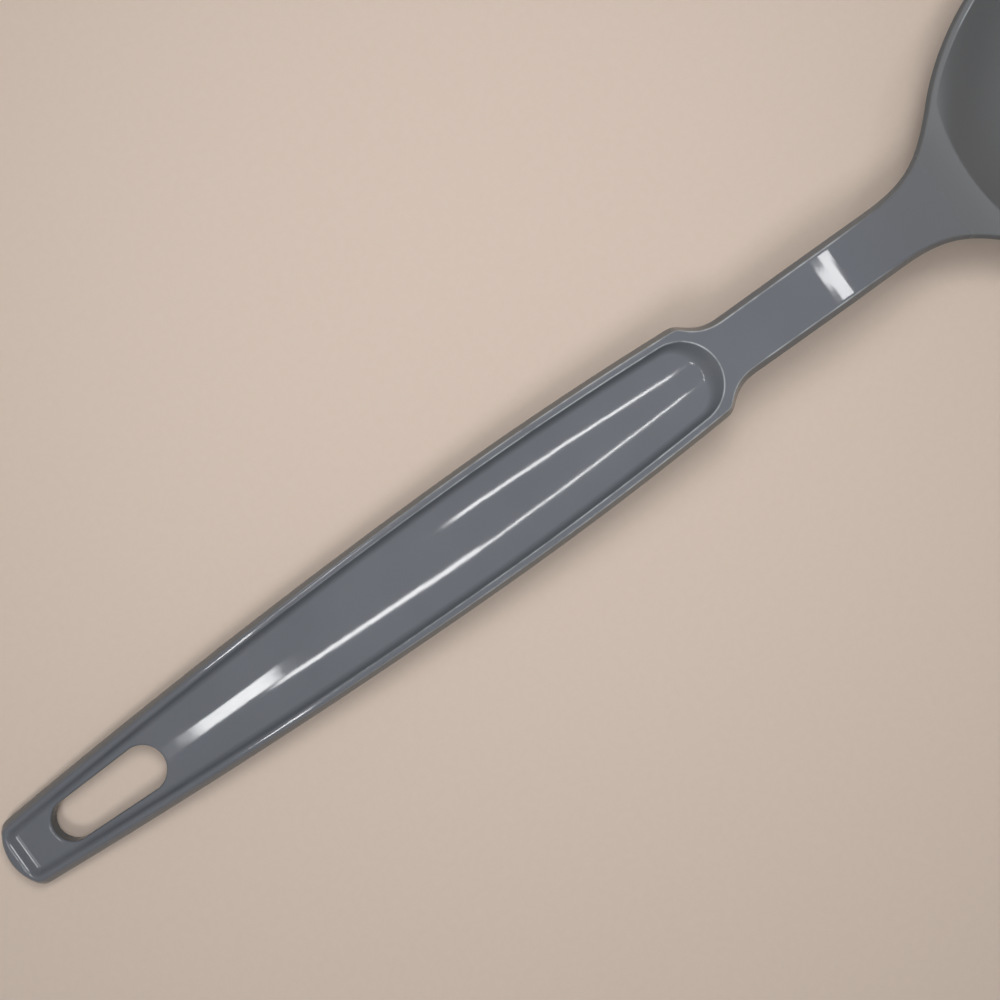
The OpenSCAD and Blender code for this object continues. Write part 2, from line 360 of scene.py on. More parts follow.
@dataclass(frozen=True)
class Recess:
    """Shallow tray in the top of the handle, with a raised rim round it."""

    plan: Plan
    rim_w: float = 2.3
    end_rim_w: float = 3.5
    past: float = 2.5
    wall: float = 2.0
    end_wall: float = 1.6
    dish: float = 1.1
    dish_l: float = 60.0
    round_l: float = 1.6
    end_round_l: float = 5.6
    corner_r: float = 1.6
    edge_soft: float = 0.2
    bead_soft: float = 1.0
    bead_l: float = 100.0

    @property
    def end(self) -> float:
        """Station of the recess's round end next to the neck."""
        return self.plan.handle_l + self.past

    @property
    def end_r(self) -> float:
        """Radius of that round end, which is the half width where the sides turn into it."""
        first = float(self.half(np.array(self.plan.handle_l - self.rim_w)))
        return float(self.half(np.array(self.end - first)))

    @property
    def turn(self) -> float:
        """Station where the sides turn into the round end."""
        return self.end - self.end_r

    def half(self, x: Array) -> Array:
        """Half width between the straight sides of the recess."""
        return self.plan.inset_half(x, self.rim_w)

    def reach(self, x: Array) -> Array:
        """Half width of the recess, the round end included.

        Args:
            x: Stations.

        Returns:
            The half widths.
        """
        along = np.clip(x - self.turn, 0.0, None)
        arc = np.sqrt(np.clip(self.end_r**2 - along**2, 0.0, None))
        return np.where(x < self.turn, self.half(x), arc)

    def inset(self, x: Array, y: Array) -> Array:
        """Distance inside the recess's outline.

        It is the lesser of the distances from the sides and from the near end, with a rounded
        corner between them, or the distance from the round end next to the neck.

        Args:
            x: Stations.
            y: Distances from the axis.

        Returns:
            The distances, negative outside the recess.
        """
        near = self.corner_r - (x - self.end_rim_w)
        aside = self.corner_r - (self.half(x) - np.abs(y))
        corner = np.hypot(np.maximum(near, 0.0), np.maximum(aside, 0.0))
        in_corner = (near > 0.0) & (aside > 0.0)
        straight = self.corner_r - np.where(in_corner, corner, np.maximum(near, aside))
        return np.where(x > self.turn, self.end_r - np.hypot(x - self.turn, y), straight)

    def depth(self, x: Array, y: Array) -> Array:
        """Depth below the rim: a rounded wall, then a floor dished towards the axis.

        The floor's depth is the wall's height plus the dish times a parabola of the share of the
        half width. The distance inside the outline is softened at 0, more so next to the handle's
        end, which rounds the brink. The depth is the floor's times a parabola of that distance,
        which levels off later in the round end.

        Args:
            x: Stations.
            y: Distances from the axis.

        Returns:
            The depths.
        """
        wall = mix(self.end_wall, self.wall, np.minimum(x / self.plan.handle_l, 1.0))
        share = y / np.maximum(self.half(np.minimum(x, self.turn)), TINY)
        floor = wall + self.dish * ease(x / self.dish_l) * np.clip(1.0 - share * share, 0.0, None)
        brink = mix(self.bead_soft, self.edge_soft, ease(x / self.bead_l))
        d = soft_max(self.inset(x, y), 0.0, brink)
        into_end = np.clip((x - self.turn) / self.end_r, 0.0, 1.0)
        return floor * level(d / mix(self.round_l, self.end_round_l, into_end**2))


@dataclass(frozen=True)
class Dish:
    """Hollow of the bowl, and the belly under it."""

    plan: Plan
    side: SideView
    depth: float = 16.6
    lip_w: float = 1.5
    crease_r: float = 44.0
    power: float = 2.4
    belly_inset: float = 0.7
    belly_past: float = 3.2
    belly_fillet: float = 0.3
    belly_end_w: float = 4.0
    foot_cut: float = 0.3
    edge_soft: float = 0.025
    # Share of the half width past which the curve across stays level
    most_across: float = 2.0

    def crease(self, y: Array) -> Array:
        """Station of the bowed back edge of the hollow."""
        return self.side.hollow_at + y * y / (2.0 * self.crease_r)

    def reach(self, x: Array) -> Array:
        """Half width of the hollow: inside the lip, and ahead of its bowed back edge."""
        ahead = np.clip(x - self.side.hollow_at, 0.0, None)
        return np.minimum(self.plan.inset_half(x, self.lip_w), np.sqrt(2.0 * self.crease_r * ahead))

    def along(self, x: Array, back: Array, front: float) -> Array:
        """Share of the depth along: 1 in the middle, a power curve down to 0 at both ends.

        Args:
            x: Stations.
            back: Stations of the back end.
            front: Station of the front end.

        Returns:
            The shares, negative beyond the ends.
        """
        middle = (self.side.hollow_at + self.plan.length) / 2.0
        behind, ahead = (middle - x) / (middle - back), (x - middle) / (front - middle)
        share = np.where(x < middle, behind, ahead)
        return 1.0 - np.abs(share) ** self.power

    def across(self, y: Array, half: Array) -> Array:
        """Share of the depth across: 1 on the axis, a power curve down to 0 at a half width."""
        share = np.minimum(np.abs(y) / np.maximum(half, TINY), self.most_across)
        return 1.0 - share**self.power

    def hollow(self, x: Array, y: Array) -> Array:
        """Depth of the hollow: the product of its shares along and across, softened at its edge.

        Args:
            x: Stations.
            y: Distances from the axis.

        Returns:
            The depths below the rim.
        """
        along = self.along(x, self.crease(y), self.plan.length - self.lip_w)
        across = self.across(y, self.plan.inset_half(x, self.lip_w))
        soft = self.edge_soft
        return self.depth * soft_max(along, 0.0, soft) * soft_max(across, 0.0, soft)

    def belly(self, x: Array, y: Array) -> Array:
        """Drop of the belly below the rim's underside: the same product, ended at the tip.

        Args:
            x: Stations.
            y: Distances from the axis.

        Returns:
            The drops.
        """
        back = self.side.hollow_at - self.belly_past
        along = self.along(x, back, self.plan.length - self.belly_inset)
        half = self.plan.inset_half(x, self.belly_inset)
        across = np.maximum(self.across(y, half), 0.0) * ease(half / self.belly_end_w)
        drop = self.side.rim_z - self.side.rim_t + self.foot_cut
        return drop * soft_max(along, 0.0, self.belly_fillet) * across


@dataclass(frozen=True)
class Slot:
    """Slot through the moulding: two round ends, each of its own width, and their tangents."""

    start: float
    length: float
    near_w: float
    far_w: float
    y: float = 0.0

    @property
    def end(self) -> float:
        """Station of the far end."""
        return self.start + self.length

    @property
    def run(self) -> float:
        """Distance between the middles of the two round ends."""
        return self.length - (self.near_w + self.far_w) / 2.0

    @property
    def tilt(self) -> float:
        """Sine of the angle between a side and the axis."""
        return (self.far_w - self.near_w) / 2.0 / self.run

    def away(self, x: Array, y: Array) -> Array:
        """Distance from the slot's wall: from a side, or from a round end beyond its tangents.

        Args:
            x: Stations.
            y: Distances from the spoon's axis.

        Returns:
            The distances, negative inside the slot.
        """
        level_share = np.sqrt(1.0 - self.tilt**2)
        dx = x - self.start - self.near_w / 2.0
        dy = np.abs(y - self.y)
        along = dx * level_share + dy * self.tilt
        side = dy * level_share - dx * self.tilt - self.near_w / 2.0
        near = np.hypot(dx, dy) - self.near_w / 2.0
        far = np.hypot(dx - self.run, dy) - self.far_w / 2.0
        return np.where(along < 0.0, near, np.where(along > self.run * level_share, far, side))

    def half(self, x: Array) -> Array:
        """Half width at each station, and 0 beyond the ends.

        Args:
            x: Stations.

        Returns:
            The half widths.
        """
        level_share = np.sqrt(1.0 - self.tilt**2)
        near_r, far_r = self.near_w / 2.0, self.far_w / 2.0
        dx = x - self.start - near_r
        near = np.sqrt(np.clip(near_r**2 - dx**2, 0.0, None))
        far = np.sqrt(np.clip(far_r**2 - (dx - self.run) ** 2, 0.0, None))
        side = (near_r + dx * self.tilt) / level_share
        found = np.where(
            dx < -near_r * self.tilt, near, np.where(dx > self.run - far_r * self.tilt, far, side)
        )
        return np.where(found > TINY, found, 0.0)

    def stations(self, margin: float, edge_n: int, steps: int) -> Array:
        """Stations that close up towards both ends, with some on the rounded edge beyond each.

        Args:
            margin: How far the rounded edge reaches beyond an end.
            edge_n: Number of stations on it.
            steps: Number of steps in each round end.

        Returns:
            The stations, not in order.
        """
        turn = 1.0 - np.cos(np.linspace(0.0, np.pi / 2.0, steps + 1))
        beyond = np.linspace(0.0, margin, edge_n)
        return np.concatenate([
            self.start - beyond, self.start + self.near_w / 2.0 * turn,
            self.end + beyond, self.end - self.far_w / 2.0 * turn,
        ])


@dataclass(frozen=True)
class MeshParts:
    """Points and faces of one closed surface, before it is made a mesh.

    Each point has its place, its share of painted highlight on an edge and its share of dulling by
    use.
    """

    points: Array
    quads: Array
    triangles: Array
    caps: list[Array]

    def faces(self) -> list[list[int]]:
        """All faces as lists of point numbers."""
        return self.quads.tolist() + self.triangles.tolist() + [cap.tolist() for cap in self.caps]


@dataclass(frozen=True)
class Sections:
    """Where the cross-sections lie: their pitch on even runs, their number where they close up."""

    plain_pitch: float = 0.9
    neck_pitch: float = 0.5
    shoulder_pitch: float = 0.3
    end_pitch: float = 0.12
    # Stations between which the handle's end turns quickly, and up to which the shoulders do
    end_from: float = 2.0
    end_to: float = 6.0
    shoulder_to: float = 180.0
    # Lengths over which sections close up past the recess and before the hollow
    recess_near: float = 0.8
    hollow_near: float = 1.0
    # Even sections start and stop this far past the hollow's back edge and the greatest width
    hollow_past: float = 2.0
    widest_past: float = 20.0
    # Half width of the back edge that has its own sections, and angle on the nose where they start
    crease_half: float = 16.0
    nose_from: float = 0.55
    turn_n: int = 41
    end_n: int = 31
    recess_n: int = 12
    hollow_n: int = 10
    nose_n: int = 56
    slot_edge_n: int = 6
    hang_n: int = 18
    drain_n: int = 8


@dataclass(frozen=True)
class Moulding:
    """The spoon's one moulding: two height fields, top and bottom, cut at the zones' planes.

    Across each station the points lie on rows. The rows follow the outline, the edges of the recess
    and the hollow, and the sides of the slots, so that every edge of the real one runs along a row.
    """

    plan: Plan = field(default_factory=Plan)
    sections: Sections = field(default_factory=Sections)
    slot_edge_r: float = 0.5
    hang_at: float = 11.7
    hang_l: float = 27.0
    hang_w: float = 8.6
    hang_far_w: float = 9.7
    drain_n: int = 5
    drain_w: float = 4.8
    drain_pitch: float = 9.8
    drain_l: float = 41.0
    drain_step: float = 7.0
    drain_at: float = 19.3
    # Steps of the rows: over the rounded outer edge, the flat rim, the edge of the hollow, its
    # wall, its bars and the turn into the underside
    edge_steps: int = 13
    land_steps: int = 4
    brink_steps: int = 6
    wall_steps: int = 22
    bar_steps: int = 18
    under_steps: int = 11
    # Reach of the outer edge's rows, as a share of the wall's lean, and width of the brink's rows
    edge_reach: float = 1.6
    brink_w: float = 0.6
    # Power by which the outer edge's rows close up, the most of the half width that they and the
    # turn into the underside may take, the least share left to that turn beside a slot, and the
    # room kept beyond the outermost slot's line, in pitches
    edge_power: float = 1.15
    edge_most: float = 0.45
    under_most: float = 0.6
    under_least: float = 0.15
    line_room: float = 0.65
    # Inner row: its share of the half width where there is no hollow, the length over which it
    # comes to that, its least reach, and its limits, a share of the outer row and a gap short of it
    row_share: float = 0.55
    row_fade_l: float = 6.0
    row_least: float = 1.5
    row_low: float = 0.3
    row_gap: float = 0.3
    row_gap_share: float = 0.1
    # Width of the painted highlight line on an edge, the length over which it fades and the share
    # of a fade at which it starts, the depth in the bowl at which use has dulled it fully, and the
    # share of that dulling on the throat and the rim
    highlight_w: float = 0.11
    highlight_fade_l: float = 14.0
    highlight_from: float = 0.5
    use_depth: float = 0.5
    throat_use: float = 0.8
    # Angle between faces past which an edge is shaded as sharp
    sharp_angle: float = 60.0

    @property
    def side(self) -> SideView:
        """Side view of the moulding."""
        return SideView(self.plan)

    @property
    def recess(self) -> Recess:
        """Recess of the handle."""
        return Recess(self.plan)

    @property
    def dish(self) -> Dish:
        """Hollow and belly of the bowl."""
        return Dish(self.plan, self.side)

    @property
    def hang_slot(self) -> Slot:
        """Slot that the spoon hangs from."""
        return Slot(self.hang_at, self.hang_l, self.hang_w, self.hang_far_w)

    def drain(self, place: int) -> Slot:
        """Drain slot, counted from the middle one towards the left; the outer ones are shorter.

        Args:
            place: The slot's number, 0 for the middle one.

        Returns:
            The slot.
        """
        length = self.drain_l - place * self.drain_step
        start = self.side.hollow_at + self.drain_at + (self.drain_l - length) / 2.0
        return Slot(start, length, self.drain_w, self.drain_w, place * self.drain_pitch)

    @property
    def left_drains(self) -> list[Slot]:
        """Drain slots on the axis and to its left, from the axis outwards."""
        return [self.drain(place) for place in range((self.drain_n + 1) // 2)]

    def slot_edge(self, x: Array, y: Array) -> Array:
        """Height lost to the slots' rounded edges: a quarter circle of the distance from one.

        Args:
            x: Stations.
            y: Distances from the axis.

        Returns:
            The heights.
        """
        r = self.slot_edge_r
        slots = [self.hang_slot, *self.left_drains]
        away = np.minimum.reduce([s.away(x, np.abs(y)) for s in slots])
        into = np.clip(r - away, 0.0, r)
        return r - np.sqrt(r * r - into * into)

    def top(self, x: Array, y: Array) -> Array:
        """Height of the upper surface.

        It is the top line, less the leaning outer wall, which is softened where it meets the rim,
        less the depth of the recess and of the hollow, less the rounding of the slots' edges.

        Args:
            x: Stations.
            y: Distances from the axis.

        Returns:
            The heights above the table.
        """
        side = self.side
        wall_h = side.thick(x) / 2.0
        leant = wall_h * (1.0 - self.plan.inside(x, y) / side.lean(x))
        lost = soft_max(leant, 0.0, side.edge_round(x))
        cut = self.recess.depth(x, y) + self.dish.hollow(x, y) + self.slot_edge(x, y)
        return side.top_line(x) - np.minimum(lost, wall_h) - cut

    def bottom(self, x: Array, y: Array) -> Array:
        """Height of the underside.

        It is the widest line, less a rounded turn down to the full thickness, less the belly of the
        bowl, plus the rounding of the slots' edges. The foot of the bowl is cut flat at the table.

        Args:
            x: Stations.
            y: Distances from the axis.

        Returns:
            The heights above the table.
        """
        side = self.side
        wall_h = side.thick(x) / 2.0
        turned = np.sqrt(level(self.plan.inside(x, y) / side.turn_r(x)))
        under = side.top_line(x) - wall_h * (1.0 + turned) - self.dish.belly(x, y)
        return np.maximum(under, 0.0) + self.slot_edge(x, y)

    def edge_highlight(self, x: Array, y: Array) -> Array:
        """Share of the painted highlight on edges: a bell curve of the distance from an edge.

        On the handle that is the rim's outer edge or the recess's brink, and it fades out along the
        bead at the handle's end and past the crest of the neck. On the bowl it is the lip's inner
        edge.

        Args:
            x: Stations.
            y: Distances from the axis.

        Returns:
            The shares.
        """
        outer = np.abs(self.plan.inside(x, y) - self.side.lean(x))
        brink = np.abs(self.recess.inset(x, y))
        lip = np.abs(self.plan.inside(x, y) - self.dish.lip_w)
        past_crest = ease((x - self.plan.crest) / self.highlight_fade_l)
        on_handle = ease(x / self.side.bead_l - self.highlight_from) * (1.0 - past_crest)
        on_bowl = ease((x - self.side.hollow_at) / self.highlight_fade_l - self.highlight_from)
        handle = on_handle * np.exp(-((np.minimum(outer, brink) / self.highlight_w) ** 2))
        return np.maximum(handle, on_bowl * np.exp(-((lip / self.highlight_w) ** 2)))

    def use_wear(self, x: Array, y: Array) -> Array:
        """Share of dulling by use: growing along the throat, full a little way into the hollow."""
        throat = self.throat_use * self.side.bowlward(x)
        return np.maximum(throat, ease(self.dish.hollow(x, y) / self.use_depth))

    def stations(self, planes: list[float]) -> Array:
        """Stations of the cross-sections, closer together where the form turns quickly.

        Args:
            planes: Stations of the planes between the zones, which are all among those returned.

        Returns:
            The stations in order.
        """
        plan, recess, hollow_at, at = self.plan, self.recess, self.side.hollow_at, self.sections
        quarter = np.linspace(0.0, np.pi / 2.0, at.turn_n)
        arc = np.linspace(0.0, np.pi / 4.0, at.end_n)
        crease = np.linspace(0.0, at.crease_half, at.turn_n)
        nose = np.linspace(at.nose_from, np.pi / 2.0, at.nose_n)
        runs = [
            plan.end_r * (1.0 - np.cos(arc)),
            np.arange(at.end_from, at.end_to, at.end_pitch),
            np.arange(at.end_to, recess.turn, at.plain_pitch),
            recess.turn + recess.end_r * np.sin(quarter),
            recess.end + at.recess_near * np.linspace(0.0, 1.0, at.recess_n) ** 2,
            np.arange(recess.end + at.recess_near, at.shoulder_to, at.shoulder_pitch),
            np.arange(at.shoulder_to, hollow_at - at.hollow_near, at.neck_pitch),
            hollow_at - at.hollow_near * np.linspace(0.0, 1.0, at.hollow_n) ** 2,
            self.dish.crease(crease),
            np.arange(hollow_at + at.hollow_past, plan.widest + at.widest_past, at.plain_pitch),
            plan.widest + plan.nose_l * np.sin(nose),
            self.hang_slot.stations(self.slot_edge_r, at.slot_edge_n, at.hang_n),
            *[
                s.stations(self.slot_edge_r, at.slot_edge_n, at.drain_n)
                for s in self.left_drains
            ],
            np.array(planes),
        ]
        found = np.unique(np.concatenate(runs))
        found = found[(found > 2.0 * TINY) & (found < plan.length - 2.0 * TINY)]
        kept = np.concatenate([[TINY], found, [plan.length - TINY]])
        close = np.concatenate([[False], np.diff(kept) < TINY / 2.0])
        return kept[~close | np.isin(kept, planes)]

    def hollow_edge(self, x: Array, edge: Array) -> Array:
        """Row that follows the edge of the recess or the hollow, or runs on where there is neither.

        Args:
            x: Stations.
            edge: Innermost row of the rounded outer edge.

        Returns:
            The row's y at each station.
        """
        plain = self.row_share * self.plan.half(x)
        past_recess = ease((x - self.recess.end) / self.row_fade_l)
        tray = mix(np.maximum(self.recess.reach(x), self.row_least), plain, past_recess)
        before_dish = ease((self.side.hollow_at - x) / self.row_fade_l)
        bowl = mix(np.maximum(self.dish.reach(x), self.row_least), plain, before_dish)
        row = np.where(x < (self.recess.end + self.side.hollow_at) / 2.0, tray, bowl)
        gap = np.minimum(self.row_gap, self.row_gap_share * edge)
        return np.clip(row, self.row_low * edge, edge - gap)

    def rows(self, x: Array) -> tuple[list[Array], list[Array], list[Array]]:
        """Rows of points on the left half of each cross-section, in blocks between the slots.

        Args:
            x: Stations.

        Returns:
            The y values of the upper surface's blocks and of the underside's, from the outline to
            the axis, and the half width of the slot after each block. Neighbouring blocks meet on a
            slot's line, and part there where the slot is open.
        """
        plan, side = self.plan, self.side
        half, stretch = plan.half(x), plan.stretch(x)
        edge = half - np.minimum(self.edge_reach * side.lean(x) * stretch, self.edge_most * half)
        brink = self.hollow_edge(x, edge)
        in_bowl = x > side.hollow_at
        middle, *others = self.left_drains
        opening = np.maximum(self.hang_slot.half(x), middle.half(x))
        room = self.drain_pitch * (len(others) + self.line_room)
        lines = [
            np.where(in_bowl, s.y * np.minimum(brink / room, 1.0), mix(opening, brink, s.y / room))
            for s in others
        ]
        gaps = [s.half(x) for s in others]
        outer_ends = [line + gap for line, gap in zip(lines, gaps)]
        inner_starts = [line - gap for line, gap in zip(lines, gaps)]
        brow = brink + np.minimum(self.brink_w, 0.5 * (edge - brink))
        bars = closing(self.bar_steps)
        top_outer = np.concatenate([
            spread(half, edge, np.linspace(0.0, 1.0, self.edge_steps) ** self.edge_power),
            spread(edge, brow, np.linspace(0.0, 1.0, self.land_steps + 1)[1:]),
            spread(brow, brink, np.linspace(0.0, 1.0, self.brink_steps + 1)[1:]),
            spread(brink, outer_ends[-1], closing(self.wall_steps)[1:]),
        ], axis=1)
        turned = half - np.minimum(side.turn_r(x) * stretch, self.under_most * half)
        under_edge = np.maximum(turned, mix(outer_ends[-1], half, self.under_least))
        bottom_outer = np.concatenate([
            spread(half, under_edge, np.linspace(0.0, 1.0, self.under_steps + 1) ** 2),
            spread(under_edge, outer_ends[-1], closing(self.wall_steps)[1:]),
        ], axis=1)
        inner = [
            spread(start, end, bars)
            for start, end in zip(inner_starts[::-1], [*outer_ends[-2::-1], opening])
        ]
        return [top_outer, *inner], [bottom_outer, *inner], [*gaps[::-1], opening]

    def surface(self, x: Array) -> MeshParts:
        """Closed surface of the moulding between the first and the last of some stations.

        Points on the left half's rows are lifted to the two height fields, the blocks become grids
        of quads, the slots' sides become strips between the two fields, and all of it is mirrored
        and welded. The two end sections become one flat face each.

        Args:
            x: Stations.

        Returns:
            The surface.
        """
        tops, bottoms, gaps = self.rows(x)
        n = len(x)
        points: list[Array] = []
        quads: list[Array] = []
        numbers: dict[str, list[Array]] = {"top": [], "bottom": []}
        count = 0
        for name, blocks, height in (("top", tops, self.top), ("bottom", bottoms, self.bottom)):
            for y in blocks:
                station = np.broadcast_to(x[:, None], y.shape)
                seen = float(name == "top")
                # Shares of the painted edge highlight and of the dulling by use, on the upper
                # surface only
                painted_highlight, used = seen * self.edge_highlight(station, y), seen * self.use_wear(station, y)
                columns = [station, y, height(station, y), painted_highlight, used]
                points.append(np.stack(columns, axis=-1).reshape(-1, len(columns)))
                number = count + np.arange(y.size).reshape(y.shape)
                count += y.size
                numbers[name].append(number)
                a, b, c, d = number[:-1, :-1], number[:-1, 1:], number[1:, 1:], number[1:, :-1]
                corners = (a, b, c, d) if name == "top" else (a, d, c, b)
                quads.append(np.stack(corners, axis=-1).reshape(-1, 4))
        pairs = list(zip(numbers["top"], numbers["bottom"]))
        ends = [self.slot_wall(t[:, -1], b[:, -1], gap) for (t, b), gap in zip(pairs, gaps)]
        starts = [
            self.slot_wall(t[:, 0], b[:, 0], gap)[:, ::-1] for (t, b), gap in zip(pairs[1:], gaps)
        ]
        left = np.concatenate(points)
        shape = np.concatenate([*quads, *ends, *starts])
        both = np.concatenate([left, left * (1.0, -1.0, 1.0, 1.0, 1.0)])
        faces = np.concatenate([shape, shape[:, ::-1] + count])
        top_ring, bottom_ring = (np.concatenate(part, axis=1) for part in numbers.values())
        rings = np.concatenate(
            [top_ring, top_ring[:, ::-1] + count, bottom_ring + count, bottom_ring[:, ::-1]], axis=1
        )
        return weld(both, faces, [rings[n - 1], rings[0][::-1]])

    @staticmethod
    def slot_wall(top: Array, bottom: Array, gap: Array) -> Array:
        """Strip of quads from a slot's edge on the upper surface to its edge on the underside.

        Args:
            top: Numbers of the points along the upper edge, from the handle's end on.
            bottom: Numbers of the points along the lower edge.
            gap: Half width of the slot at each point, and 0 where there is no slot.

        Returns:
            The quads, facing the axis.
        """
        strip = np.stack([top[:-1], bottom[:-1], bottom[1:], top[1:]], axis=-1)
        return strip[(gap[:-1] > 0.0) | (gap[1:] > 0.0)]

    def build(self, zone: Zone, near: float, far: float, every: Array) -> bpy.types.Object:
        """Makes one zone's mesh object.

        Args:
            zone: The zone.
            near: Station of its near end.
            far: Station of its far end.
            every: Stations of the whole spoon.

        Returns:
            The object, which sits at the origin with its place in its mesh.
        """
        parts = self.surface(every[(every >= near) & (every <= far)])
        placed = (parts.points[:, :3] - (self.plan.length / 2.0, 0.0, 0.0)) * MM
        mesh = bpy.data.meshes.new(f"{zone.value}_surface")
        mesh.from_pydata(placed, [], parts.faces())
        # Attributes for the painted edge highlight's share and for the dulling by use
        for column, mark in enumerate(Mark, start=3):
            share = mesh.attributes.new(mark.value, "FLOAT", "POINT")
            share.data.foreach_set("value", parts.points[:, column].astype(np.float32))
        mesh.polygons.foreach_set("use_smooth", np.ones(len(mesh.polygons), bool))
        mesh.set_sharp_from_angle(angle=np.radians(self.sharp_angle))
        mesh.update()
        piece = bpy.data.objects.new(f"{zone.value}_moulding", mesh)
        bpy.context.scene.collection.objects.link(piece)
        return piece


def weld(points: Array, quads: Array, rings: list[Array]) -> MeshParts:
    """Joins points that coincide, and turns the quads that this collapses into triangles.

    Args:
        points: Points, some of them twice.
        quads: Point numbers of the quads.
        rings: Point numbers round each end face.

    Returns:
        The joined surface.
    """
    keys = np.round(points[:, :3] / WELD).astype(np.int64)
    _, first, joined = np.unique(keys, axis=0, return_index=True, return_inverse=True)
    joined = joined.reshape(-1)
    faces = joined[quads]
    steps = faces != np.roll(faces, -1, axis=1)
    ordered = np.sort(faces, axis=1)
    kinds = 1 + (np.diff(ordered, axis=1) != 0).sum(axis=1)
    whole = faces[kinds == 4]
    thin = (kinds == 3) & (steps.sum(axis=1) == 3)
    triangles = faces[thin][steps[thin]].reshape(-1, 3)
    caps = [joined[ring] for ring in rings]
    caps = [cap[cap != np.roll(cap, -1)] for cap in caps]
    return MeshParts(points[first], whole, triangles, caps)


def linear(code: str) -> tuple[float, float, float, float]:
    """Linear colour of an sRGB hex code.

    Args:
        code: Six hex digits after a hash sign.

    Returns:
        Red, green and blue from 0 to 1, and full opacity.
    """
    s = np.array([int(code[i:i + 2], 16) for i in (1, 3, 5)]) / 255.0
    channels = np.where(s <= 0.04045, s / 12.92, ((s + 0.055) / 1.055) ** 2.4)
    return (*channels.tolist(), 1.0)


def add_node(
    tree: bpy.types.NodeTree,
    kind: str,
    values: dict[str, object] | None = None,
    links: dict[str, bpy.types.NodeSocket] | None = None,
    **settings: object,
) -> bpy.types.Node:
    """Adds a node with its settings, input values and links.

    Args:
        tree: The material's node tree.
        kind: Type name of the node.
        values: Values of inputs, by name.
        links: Sockets that inputs are linked from, by name.
        settings: Properties of the node.

    Returns:
        The node.
    """
    node = tree.nodes.new(kind)
    for name, value in settings.items():
        setattr(node, name, value)
    for name, value in (values or {}).items():
        node.inputs[name].default_value = value
    for name, socket in (links or {}).items():
        tree.links.new(socket, node.inputs[name])
    return node


@dataclass(frozen=True)
class Pattern:
    """Noise pattern: its size in millimetres, the number of finer ones in it and their share.

    What it changes starts at its low value and is complete at its high one.
    """

    size: float
    detail: float = 3.0
    share: float = 0.5
    low: float = 0.0
    high: float = 1.0

    def values(self) -> dict[str, float]:
        """Scale on Object coordinates, which are metres, with the detail and its share."""
        return {"Scale": 1.0 / (self.size * MM), "Detail": self.detail, "Roughness": self.share}


